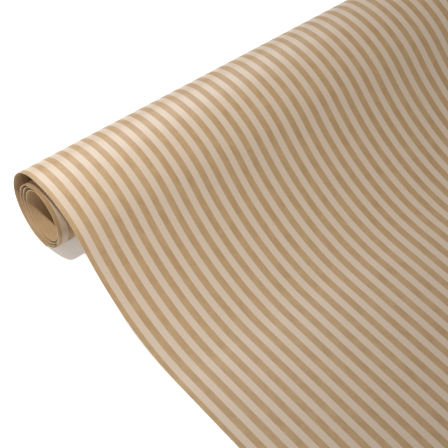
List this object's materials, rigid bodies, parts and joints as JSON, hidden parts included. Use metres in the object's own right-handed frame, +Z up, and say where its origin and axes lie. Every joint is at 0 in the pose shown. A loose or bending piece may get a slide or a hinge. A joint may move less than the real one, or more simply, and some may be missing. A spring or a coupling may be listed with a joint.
{
  "type": "wrapping paper roll",
  "caption": "Coreless roll of striped kraft gift-wrapping paper, partly drawn off over its front and laid flat on the table.",
  "frame": {"origin": "bottom centre of the whole object, on the table, midway along the roll", "axes": "+X along the roll, -Y the way the paper is drawn off, +Z up"},
  "size_m": [0.7, 0.4266, 0.0613],
  "materials": {
    "printed_face": "matt, striped",
    "kraft_paper": "matt, uncoated"
  },
  "bodies": {
    "table_side": {"loose_back": "printed_face", "loose_crown": "printed_face", "brow_curve": "printed_face", "foot_curve": "printed_face", "laid_sheet": "printed_face"},
    "wound_roll": {"inner_turn": "kraft_paper", "third_turn": "kraft_paper", "second_turn": "kraft_paper", "first_turn": "kraft_paper"},
    "drawn_sheet": {"drawn_sheet": "printed_face"},
    "free_end": {"free_end": "printed_face"}
  },
  "joints": [
    {"name": "sheet_draw", "type": "slide", "parent": "table_side", "child": "drawn_sheet", "axis": [0, -1, 0], "range_m": [0, 0.1847], "deforming": ["laid_sheet"]},
    {"name": "roll_spin", "type": "hinge", "parent": "table_side", "child": "wound_roll", "pos_m": [0, 0.18368, 0.0253], "axis": [1, 0, 0], "range_deg": [0, 360]},
    {"name": "end_lift", "type": "hinge", "parent": "drawn_sheet", "child": "free_end", "pos_m": [0, -0.14313, 0.0004], "axis": [-1, 0, 0], "range_deg": [0, 60]}
  ],
  "couplings": [
    {"joint": "roll_spin", "follows": "sheet_draw", "rad_per_m": 34.018}
  ]
}
